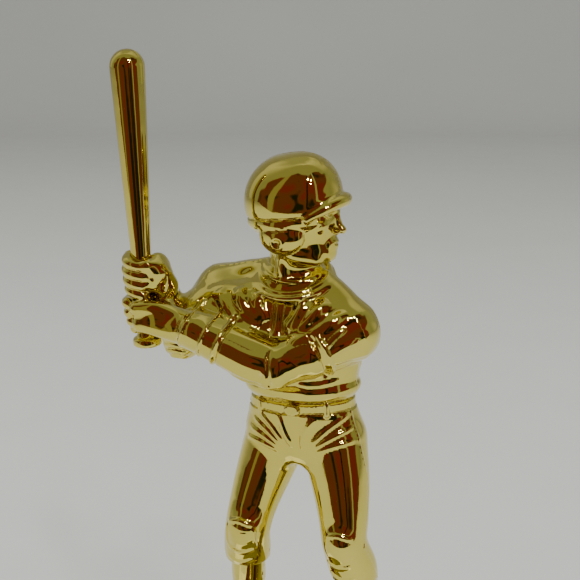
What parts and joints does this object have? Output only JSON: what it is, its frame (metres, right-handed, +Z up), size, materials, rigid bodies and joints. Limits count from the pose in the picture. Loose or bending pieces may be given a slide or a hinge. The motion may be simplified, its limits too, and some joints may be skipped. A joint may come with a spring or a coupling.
{
  "type": "figure trophy",
  "caption": "Gold baseball batter figure with a raised bat and helmet, on a round foot plate bolted through a marble base with a blank name plate.",
  "frame": {"origin": "centre of the plane the felt pads rest on, on the axis of the threaded rod", "axes": "+Z up along the threaded rod, -Y to the front where the name plate is and the figure's chest faces, +X to the figure's left where it looks"},
  "size_m": [0.092, 0.0648, 0.1868],
  "materials": {
    "figure_gold": "vacuum-metallised gold, mirror bright",
    "insert_brass": "machined",
    "zinc_steel": "bright zinc plated",
    "marble": "polished, grey veins",
    "felt": "felt",
    "tape": "double-sided foam tape",
    "plate_gold": "gold anodised, satin, blank"
  },
  "bodies": {
    "base": {"marble_base": "marble", "felt_pads": "felt", "plate_tape": "tape", "name_plate": "plate_gold"},
    "figure": {"figure_front_shell": "figure_gold", "figure_back_shell": "figure_gold", "bat": "figure_gold", "foot_plate": "figure_gold", "insert_nut": "insert_brass", "threaded_rod": "zinc_steel"},
    "washers": {"flat_washer": "zinc_steel", "lock_washer": "zinc_steel"},
    "nut": {"hex_nut": "zinc_steel"}
  },
  "joints": [
    {"name": "figure_turn", "type": "hinge", "parent": "base", "child": "figure", "pos_m": [0, 0, 0.0255], "axis": [0, 0, 1], "continuous": true},
    {"name": "washer_drop", "type": "slide", "parent": "base", "child": "washers", "axis": [0, 0, -1], "range_m": [0, 0.00254]},
    {"name": "nut_turn", "type": "hinge", "parent": "washers", "child": "nut", "pos_m": [0, 0, 0.0114], "axis": [0, 0, -1], "range_deg": [0, 720]}
  ],
  "couplings": [
    {"joint": "nut_turn", "follows": "washer_drop", "rad_per_m": 4947.3}
  ]
}
